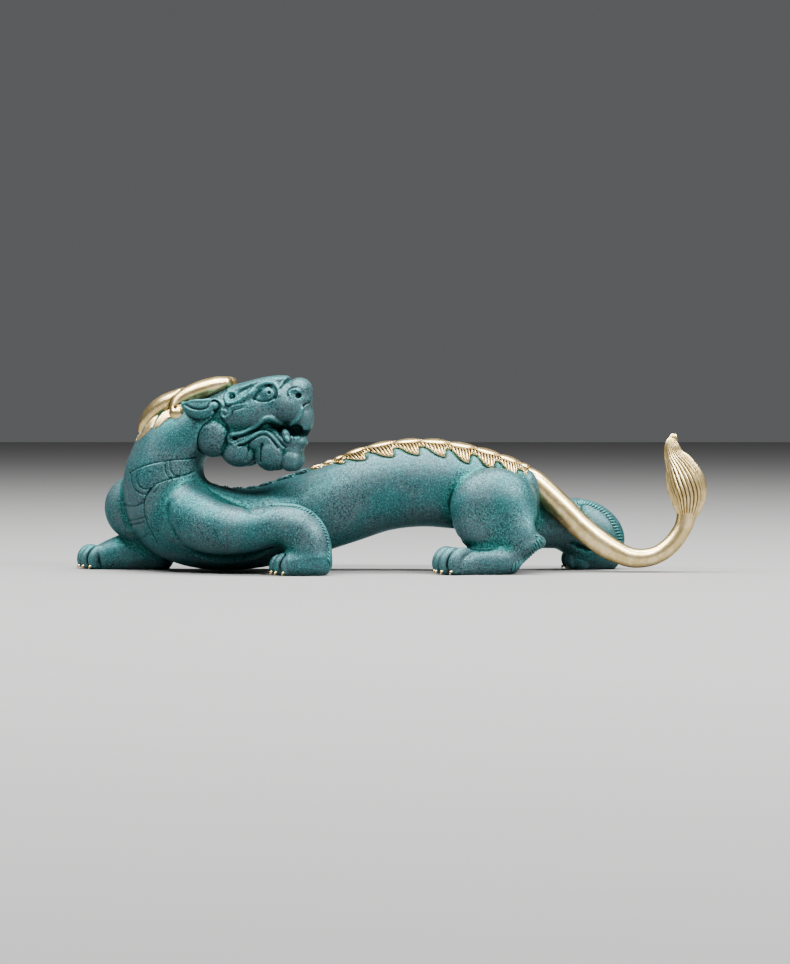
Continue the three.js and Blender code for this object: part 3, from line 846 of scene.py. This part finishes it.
head.score(head_line(BETWEEN_LIPS), width=1.4, depth=0.8)
head.score(head_line(UNDER_LIP), width=0.9, depth=0.7)
head.score(head_line(CHIN_CREASE), width=0.8, depth=0.7)
head.score(head_line(BACK_BEARD_FOLD), width=1.2, depth=0.5)
head.score(head_line(FRONT_BEARD_FOLD), width=1.2, depth=0.7)

skin, faces, relief = head.mirrored().skin()
# Points deep in the open mouth get the lowest relief, which paints shade in the mouth
deep_in_mouth = np.linalg.norm((skin - MOUTH_MIDDLE) / MOUTH_HOLLOW, axis=1) < 1
relief[:, deep_in_mouth] = -1
cast("head", from_head(skin), faces, relief, patina)


# Fringes: ropes of short slanted strands along the elbow, behind the hock and round the far thigh.
# They are cast with the body, and are drawn finer than it.
FRINGE_CELL = 0.25
STRAND_HEIGHT = 0.9


def fringe(name, line, width, pitch, slant):
    """A rope of strands along places on the body, each strand lying across the rope at a slant."""
    gaps = np.linalg.norm(np.diff(line, axis=0), axis=1)
    length = np.concatenate([(0,), np.cumsum(gaps)])
    steps = np.arange(pitch / 2, length[-1], pitch)
    places = np.stack([np.interp(steps, length, line[:, n]) for n in range(3)], 1)
    ahead = np.gradient(places, axis=0)
    ahead /= np.linalg.norm(ahead, axis=1, keepdims=True)
    out = body.normals(places)
    across = np.cross(out, ahead)
    rope = Clay(line.min(0) - 2 * width, line.max(0) + 2 * width, FRINGE_CELL)
    rope.roll(places - out * 0.5, (width * 0.2, width * 0.25, width * 0.25, width * 0.2), fillet=0.4)
    share = np.linspace(-1, 1, 7)[:, None]
    lift = STRAND_HEIGHT * (1 - share**2) ** 0.5 - 0.45
    for place, forward, normal, sideways in zip(places, ahead, out, across):
        strand = place + sideways * share * width / 2 + forward * share * slant + normal * lift
        rope.roll(strand, (0.3, 0.55, 0.6, 0.55, 0.25), fillet=0.15)
    skin, faces, relief = rope.skin()
    cast(name, skin, faces, relief, patina, most=60000)


ELBOW = [
    (-60, 33.8), (-50, 33.6), (-43, 31.6), (-37.6, 27.8),
    (-33.8, 22.4), (-31.6, 16), (-30.8, 10), (-31.6, 4.5),
]
HOCK = [(73.4, 18.6), (74.2, 15.6), (71.4, 11.4), (67.4, 7.6), (63.2, 4), (59.6, 1.8)]
FAR_THIGH = [(89, 34.2), (96.5, 35.2), (104, 32.4), (109.8, 27), (113.8, 19.6), (115, 14.6)]
fringe("elbow_fringe", body.seen(ELBOW), width=3.4, pitch=1.55, slant=1.5)
fringe("hock_fringe", body.seen(HOCK), width=4.2, pitch=1.7, slant=1.6)
fringe("thigh_fringe", body.seen(FAR_THIGH), width=4.0, pitch=1.6, slant=0.9)


# Horn: smooth rolls of bare brass that lie back over the crown, with a curled bead at each side.
# It is part of the casting too, and its patina is brushed off. It mirrors like the head.
horn = Clay((-66, -20, 62), (-4, 0, 104), HEAD_CELL)


def horn_run(stations):
    """Stations given by where the camera sees them and how far they lie beside the head's middle."""
    eye = to_head(camera_place[None])[0]
    placed = []
    for x, z, beside, width, depth in stations:
        sheet = AIM + (z - DRAWN_AIM) * camera_up
        sheet = to_head(sheet[None] * (0, 1, 1) + (x, 0, 0))[0]
        share = (beside - eye[1]) / (sheet[1] - eye[1])
        placed.append((*(eye + (sheet - eye) * share), width, depth))
    return placed


horn.limb(horn_run([
    (-103, 88, -2, 6.4, 5),
    (-111.6, 85, -2.4, 6.6, 5),
    (-117.4, 80.8, -2.4, 6.2, 5),
    (-121.6, 75.6, -2, 5.4, 4.4),
    (-124, 71.4, -1.4, 3.6, 2.8),
]), fillet=1, start=0.8)
horn.limb(horn_run([
    (-82.2, 95.0, -2.0, 5.4, 3.2),
    (-86, 94.0, -2.8, 6.6, 4.4),
    (-91, 92.4, -3.6, 7, 5.0),
    (-97, 90.4, -4.8, 6.4, 5.0),
    (-102.4, 88.2, -6.8, 5.2, 4.4),
    (-106.3, 85.4, -9.0, 4, 3.7),
    (-108, 81.8, -10.8, 3.4, 3.2),
]), fillet=0.5, start=0.9)
BEAD = (-107.3, 79.8, -11.8, 0, 0)
horn.egg(horn_run([BEAD])[0][:3], (4.1, 3.6, 4.1), fillet=0.8)
HORN_GROOVE = [(-103.4, 93.2), (-104.8, 92.5), (-108, 89.6), (-110.4, 85.7), (-111.6, 81.8)]
HORN_CURL = [(-108.3, 82.2), (-107.9, 83.2), (-106, 84.4), (-103.2, 85.5), (-101.6, 86)]
CURL_HOLE = [(-108, 82.9), (-107.9, 82.9)]
horn.score(horn.seen(HORN_GROOVE, to_head), width=1.0, depth=0.8)
horn.score(horn.seen(HORN_CURL, to_head), width=1.0, depth=1.2)
horn.egg(horn.seen(CURL_HOLE, to_head)[0], (1, 1, 0.9), fillet=0.3, cut=True)

# Brass: rubbed bare and brushed with fine strokes along the beast, and darkened with painted shade in its
# grooves and hollows
BRASS = (0.57, 0.43, 0.19, 1)
BRASS_PALE = (0.73, 0.58, 0.31, 1)
# Painted shade for the grooves and hollows of the brass
BRASS_HOLLOW_SHADE = (0.008, 0.005, 0.002, 1)
STROKES = (700, 2600, 2600)
brass, tree, shader = new_material("brushed brass")
surface = surface_of(tree, mottle_scale=220.0, pit_scale=2400.0)
places = tree.nodes.new("ShaderNodeTexCoord").outputs["Object"]
stretched = add_node(tree, "Mapping", Vector=places, Scale=STROKES)
strokes = add_node(tree, "TexNoise", Vector=stretched.outputs["Vector"], Scale=1.0, Detail=3.0)
colour = blended(tree, surface["Mottle"], BRASS, BRASS_PALE)
# Painted shade in the grooves and hollows
colour = blended(tree, surface["Hollow Shade"], colour, BRASS_HOLLOW_SHADE)
roughness = ramp(tree, strokes.outputs["Fac"], low=0.3, high=0.7, bottom=0.28, top=0.36)
tree.links.new(colour, shader.inputs["Base Color"])
tree.links.new(roughness, shader.inputs["Roughness"])
shader.inputs["Metallic"].default_value = 1.0
shader.inputs["Specular Tint"].default_value = (0.3, 0.22, 0.11, 1)
bump = add_node(tree, "Bump", Strength=0.1, Distance=0.0001, Height=surface["Height"])
tree.links.new(bump.outputs["Normal"], shader.inputs["Normal"])

skin, faces, relief = horn.mirrored().skin()
cast("horn", from_head(skin), faces, relief, brass, most=120000)


# Crest: a skirt of brass leaves along the back, with their tips towards the tail. Each leaf has eight
# veins and hangs down both sides, and a smooth slat like a roof tile covers its top. From the shoulders
# on up the nape the leaves are small and low, with four veins. All but the first two of these take the
# patina and are darkened all over with painted shade.

# Leaves hang down by degrees from the back line and rise by millimetres. Each starts at LEAF_ROOT of
# its hang, under the slat, and leans back by LEAN of its length. Its bottom is sunk in the trunk.
LEAF_HANG = 48.0
LEAF_RISE = 1.6
LOW_HANG = 21.0
LOW_RISE = 0.9
DARK_RISE = 1.5
LEAF_ROOT = 0.1
LEAN = 0.34
SHEET_BOTTOM = -1.5

# Where the leaves end along the spine, counted in its stations. The leaf that ends before RUMP_END
# presses no edge into the trunk, and those that end past BRASS_END take the patina with painted shade.
BIG_LEAF_ENDS = [-0.05, 0.4, 1.06, 1.75, 2.42, 2.99, 3.54, 4.1, 4.56, 4.85]
LOW_LEAF_ENDS = [5.15, 5.5, 5.9, 6.35] + list(np.linspace(6.8, 11.4, 12))
RUMP_END = 0.5
BRASS_END = 5.6

# How many degrees the back line has rolled over to one side at each station of the spine
BACK_ROLL = (0, 0, 0, 0, 2, 7, 14, 21, 32, 52, 80, 108, 135, 165, 180)

# The scalloped lower edge of a leaf: a share of its length, and a share of its hang
LOWER_EDGE = [
    (0, 0.575), (0.07, 0.64), (0.16, 0.8), (0.27, 0.91), (0.4, 0.97), (0.51, 1), (0.6, 1),
    (0.635, 0.97), (0.66, 0.85), (0.7, 0.7), (0.77, 0.6), (0.85, 0.54), (1, 0.54),
]


def on_trunk(t, angle, lift):
    """Points of the trunk's skin, at t along the spine and so many degrees down from the back line."""
    centre, _, side, up, width, depth = frames(SPINE, t)
    turn = np.radians(np.interp(t, np.arange(len(BACK_ROLL)), BACK_ROLL) + angle)
    across = side * ((width + lift) * np.sin(turn))[:, None]
    return centre + across + up * ((depth + lift) * np.cos(turn))[:, None]


def thick_sheet(top, bottom, relief):
    """A closed sheet between a grid of points and the same grid further in."""
    rows, columns = top.shape[:2]
    count = rows * columns
    points = np.vstack([top.reshape(-1, 3), bottom.reshape(-1, 3)])
    number = np.arange(count).reshape(rows, columns)
    quads = np.stack([number[:-1, :-1], number[1:, :-1], number[1:, 1:], number[:-1, 1:]], -1).reshape(-1, 4)
    rim = np.concatenate([number[0, :], number[1:, -1], number[-1, -2::-1], number[-2:0:-1, 0]])
    after = np.roll(rim, -1)
    walls = np.stack([rim, after, after + count, rim + count], -1)
    faces = np.vstack([quads[:, ::-1], quads + count, walls[:, ::-1]])
    # The inner sheet gets the lowest relief, which paints full shade on it and on the walls down to it
    return points, faces.tolist(), np.concatenate([relief.ravel(), np.full(count, -1.0)])


def gathered(parts):
    """Several closed shapes as one list of points and faces."""
    points, faces, relief, count = [], [], [], 0
    for part_points, part_faces, part_relief in parts:
        points.append(part_points)
        faces += [[corner + count for corner in face] for face in part_faces]
        relief.append(part_relief)
        count += len(part_points)
    return np.vstack(points), faces, np.concatenate(relief)[None]


def leaf(front, back, hang, rise, veins, side):
    """One side of a leaf: its grid runs along the back and down to the scalloped edge."""
    along_back = np.linspace(0, 1, veins * 8 + 1)[:, None]
    down = np.concatenate([np.linspace(0, 0.9, 11), (0.95, 0.985, 1.0)])[None, :]
    edge = np.interp(along_back, *np.array(LOWER_EDGE).T)
    drop = LEAF_ROOT + down * (edge - LEAF_ROOT)
    share = along_back + LEAN * (drop - LEAF_ROOT)
    t = front + (back - front) * share
    proud = rise * (0.6 + 0.4 * np.clip(share, 0, 1)) * (1 - 0.3 * down)

    # A groove is 0 on a vein and 1 between two, and fades out at the root and the edge of the leaf
    groove = np.clip(np.abs((along_back * veins) % 1 - 0.5) * 4.4 - 0.55, 0, 1)
    groove = groove * np.clip((1 - down) / 0.12, 0, 1) * np.clip(down / 0.04, 0, 1)
    rounding = np.clip((down - 0.9) / 0.1, 0, 1) ** 2
    lift = proud * (1 - 0.8 * groove) - rounding * (proud + 0.4)
    angle = side * hang * drop
    shape = lift.shape
    t, angle, lift = (np.broadcast_to(value, shape).ravel() for value in (t, angle, lift))
    top = on_trunk(t, angle, lift).reshape(*shape, 3)
    bottom = on_trunk(t, angle, np.full(t.shape, SHEET_BOTTOM)).reshape(*shape, 3)
    # This relief paints shade: the grooves between the veins and the rounded rim go dark
    relief = 0.6 - 2.2 * groove - 0.6 * rounding
    if side > 0:
        top, bottom, relief = top[::-1], bottom[::-1], relief[::-1]
    return thick_sheet(top, bottom, relief)


def slat(front, back, hang, rise):
    """The smooth lens-shaped tile over the top of a leaf."""
    along_back = np.linspace(-0.04, 1.0, 25)[:, None]
    across = np.linspace(-1, 1, 13)[None, :]
    bulge = np.sqrt(np.clip(1 - across * across, 0, 1))
    plan = np.sin(math.pi * np.clip((along_back + 0.08) / 1.12, 0, 1)) ** 0.6
    plan = np.clip(plan, 0.16, 1)
    angle = 0.4 * hang * across * plan
    lift = rise * (0.68 + 0.27 * np.clip(along_back, 0, 1)) + 1.3 * bulge * plan - 0.4
    shape = lift.shape
    t = np.broadcast_to(front + (back - front) * along_back, shape).ravel()
    top = on_trunk(t, angle.ravel(), lift.ravel()).reshape(*shape, 3)
    bottom = on_trunk(t, angle.ravel(), np.full(t.shape, SHEET_BOTTOM)).reshape(*shape, 3)
    # The slat's relief paints shade down its sides
    relief = np.broadcast_to(0.6 - 1.2 * (1 - bulge), shape)
    return thick_sheet(top[::-1], bottom[::-1], relief)


def leaf_edge(front, back, hang, side):
    """Where the scalloped edge of a leaf lies on the skin of the trunk."""
    along_back = np.linspace(0, 1, 60)
    drop = np.interp(along_back, *np.array(LOWER_EDGE).T)
    t = front + (back - front) * (along_back + LEAN * (drop - LEAF_ROOT))
    return on_trunk(t, side * hang * drop, np.zeros(60))


brass_leaves = []
shaded_leaves = []
ends = BIG_LEAF_ENDS + LOW_LEAF_ENDS
for number, (back, front) in enumerate(zip(ends[:-1], ends[1:])):
    if number < len(BIG_LEAF_ENDS) - 1:
        size = min(1, 0.35 + front - back)
        hang, rise, veins = LEAF_HANG * size, LEAF_RISE * size, 8
        width, depth = 2.0, 1.4
    else:
        hang, rise, veins = LOW_HANG, LOW_RISE if front < BRASS_END else DARK_RISE, 4
        width, depth = 1.2, 0.5
    row = brass_leaves if front < BRASS_END else shaded_leaves
    for side in (-1, 1):
        row.append(leaf(front, back, hang, rise, veins, side))
        if front > RUMP_END:
            body.score(leaf_edge(front, back, hang, side), width, depth)
    row.append(slat(front, back, hang, rise))
points, faces, relief = gathered(brass_leaves)
cast("crest", points, faces, relief, brass)
points, faces, relief = gathered(shaded_leaves)
# Their relief is pushed low, which paints shade over the whole of them
shaded_relief = relief * 0.5 - 0.5
cast("low_crest", points, faces, shaded_relief, patina)

# The body gets its skin only now, with the creases along the leaves' edges in it. Their hollows take painted
# shade.
skin, faces, relief = body.skin()
cast("body", skin, faces, relief, patina)


# Tail: a bare round stem that sinks towards the ground and rises again into a brush of hair,
# which is one bud of fluted strands drawn to a bent tip.
TAIL = [
    (60, 0, 50, 5, 4),
    (69, -0.5, 46.5, 5.6, 5.6),
    (75.5, -1, 41, 5.8, 6.2),
    (85.6, -2, 31.4, 5.8, 6.2),
    (96, -3, 21.3, 5.6, 6),
    (106.7, -4, 13.2, 5.3, 5.8),
    (119, -5, 7.4, 4.8, 5),
    (130.2, -5, 7.9, 4.5, 4.5),
    (138.8, -5, 13.2, 4.4, 4.4),
    (145.2, -4.5, 22, 4.4, 4.4),
    (147.5, -4, 30, 5, 5),
]
BRUSH = [
    (147.3, -4, 27, 4.2, 4.2),
    (147.8, -4, 32.5, 6, 7),
    (147.9, -4, 39.3, 7, 9),
    (146.3, -4, 46, 6.8, 9.2),
    (143.7, -4, 53, 5.4, 7.1),
    (140.8, -4, 58.5, 4, 4.7),
    (139.8, -4, 63.5, 3.1, 3.4),
    (140.4, -4, 66.8, 1.9, 2.0),
]
FLUTES = 30
FLUTE_DEPTH = 0.12
FLUTE_TWIST = 0.9


def tube(rings, relief=None):
    """A closed tube through rings, with the relief of each of their points, or none at all."""
    points, quads, triangles = skin_of(rings)
    relief = np.zeros(len(points)) if relief is None else np.concatenate([relief.ravel(), (0, 0)])
    return points, quads.tolist() + triangles.tolist(), relief


sides = FLUTES * 8
brush = limb_rings(BRUSH, sides, steps=12, end=1.3)
middle = brush.mean(1, keepdims=True)
share = np.linspace(0, 1, len(brush))[:, None]
turn = np.linspace(0, 2 * math.pi, sides, endpoint=False)[None, :]
twisted = turn + FLUTE_TWIST * share**2
uneven = 0.5 * np.sin(3 * turn + 4 * share)
wave = np.abs(np.sin(twisted * FLUTES / 2 + uneven))
depth = FLUTE_DEPTH * np.clip(share / 0.05, 0, 1) * np.clip((1 - share) / 0.04, 0, 1)
depth = depth * (1 + 0.3 * np.sin(5 * turn))
brush = middle + (brush - middle) * (1 + depth * (wave - 0.6) * 1.2)[..., None]
stem = limb_rings(TAIL, sides=64, steps=14, start=0.8, end=0)
# The brush's relief follows its flutes, so their grooves are darkened with painted shade
points, faces, relief = gathered([tube(stem), tube(brush, wave * 1.7 - 1.4)])
cast("tail", points, faces, relief, brass)


# Mane and claws: tufts of strands on both sides of the nape, and a short hooked claw on every toe,
# all of bare brass and cast with the body.

# Every other strand of the two tufts: its root and its tip, as the camera sees them
TUFTS = [
    [
        (-110.6, 83.0, -118.9, 73.4), (-110.6, 81.8, -118.6, 71.8), (-110.4, 80.8, -116.6, 73.2),
        (-110.4, 80.0, -115.6, 74.0), (-110.4, 79.0, -113.9, 75.6), (-110.6, 78.2, -112.2, 76.4),
    ],
    [
        (-116.6, 80.2, -123.0, 72.4), (-116.8, 79.0, -124.6, 70.0), (-117.2, 77.8, -126, 68.2),
        (-117.8, 76.8, -127.6, 65.6), (-118.4, 75.4, -125.2, 67.4), (-119, 74.2, -123.2, 69),
        (-119.6, 73, -121.3, 71),
    ],
]

# The far side's strands mirror these about the middle of the nape
NAPE_MIDDLE = 1

# How far a claw's stations lie ahead of its root and above it
CLAW = ((-1.4, 0.6), (0.0, 0.5), (0.8, -0.1), (1.0, -1.0))


def spike(places, sizes):
    """A closed tapering strand along places."""
    stations = [(*place, size, size) for place, size in zip(places, sizes)]
    return tube(limb_rings(stations, sides=12, steps=4, start=0.5, end=0.5))


def laid_on_body(places, lift):
    """Places moved along the skin's normals until they lie so far outside the skin."""
    for _ in range(3):
        places = places - body.normals(places) * (body.sample(places) - lift)[:, None]
    return places


spikes = []
for tuft in TUFTS:
    for root_x, root_z, tip_x, tip_z in smooth_line(tuft, 2):
        middle = ((root_x + tip_x) / 2 - 0.3, (root_z + tip_z) / 2 + 0.4)
        places = body.seen([(root_x, root_z), middle, (tip_x, tip_z)], lift=0.4)[::3]
        sizes = np.interp(np.linspace(0, 1, len(places)), (0, 0.4, 1), (0.4, 0.68, 0.1))
        spikes.append(spike(places, sizes))
        far_places = places * (1, -1, 1) + (0, 2 * NAPE_MIDDLE, 0)
        spikes.append(spike(laid_on_body(far_places, lift=0.3), sizes))
for root, ahead in claw_roots:
    hooked = [root + ahead * push + (0, 0, rise) for push, rise in CLAW]
    spikes.append(spike(hooked, (0.5, 0.65, 0.5, 0.2)))
points, faces, relief = gathered(spikes)
cast("mane_and_claws", points, faces, relief, brass)


# Stage: a plain pale floor, a dim room and three lamps, which aren't part of the statue. The long
# lamps in front and above lay soft bands of light along the metal.
FLOOR_REACH = 3
floor_mesh = bpy.data.meshes.new("floor")
corners = [(x * FLOOR_REACH, y * FLOOR_REACH, 0) for x, y in ((-1, -1), (1, -1), (1, 1), (-1, 1))]
floor_mesh.from_pydata(corners, [], [(0, 1, 2, 3)])
floor = bpy.data.objects.new("floor", floor_mesh)
bpy.context.scene.collection.objects.link(floor)
paper, _, shader = new_material("pale paper")
shader.inputs["Base Color"].default_value = (0.14, 0.138, 0.136, 1)
shader.inputs["Roughness"].default_value = 0.7
floor_mesh.materials.append(paper)

world = bpy.data.worlds.new("studio")
world.use_nodes = True
background = world.node_tree.nodes["Background"]
background.inputs["Color"].default_value = (0.9, 0.92, 0.95, 1)
background.inputs["Strength"].default_value = 0.12
bpy.context.scene.world = world


def lamp(name, place, size, power):
    """A rectangular lamp that shines on the middle of the statue."""
    light = bpy.data.lights.new(name, "AREA")
    light.shape = "RECTANGLE"
    light.size, light.size_y = size
    light.energy = power
    holder = bpy.data.objects.new(name, light)
    holder.location = place
    direction = Vector((0, 0, 0.05)) - holder.location
    holder.rotation_euler = direction.to_track_quat("-Z", "Y").to_euler()
    bpy.context.scene.collection.objects.link(holder)


lamp("front", place=(-0.1, -0.58, 1.0), size=(2.0, 0.15), power=64)
lamp("top", place=(0, 0.05, 1.1), size=(1.8, 0.2), power=88)
lamp("right", place=(0.8, -0.6, 0.72), size=(0.3, 0.3), power=22)
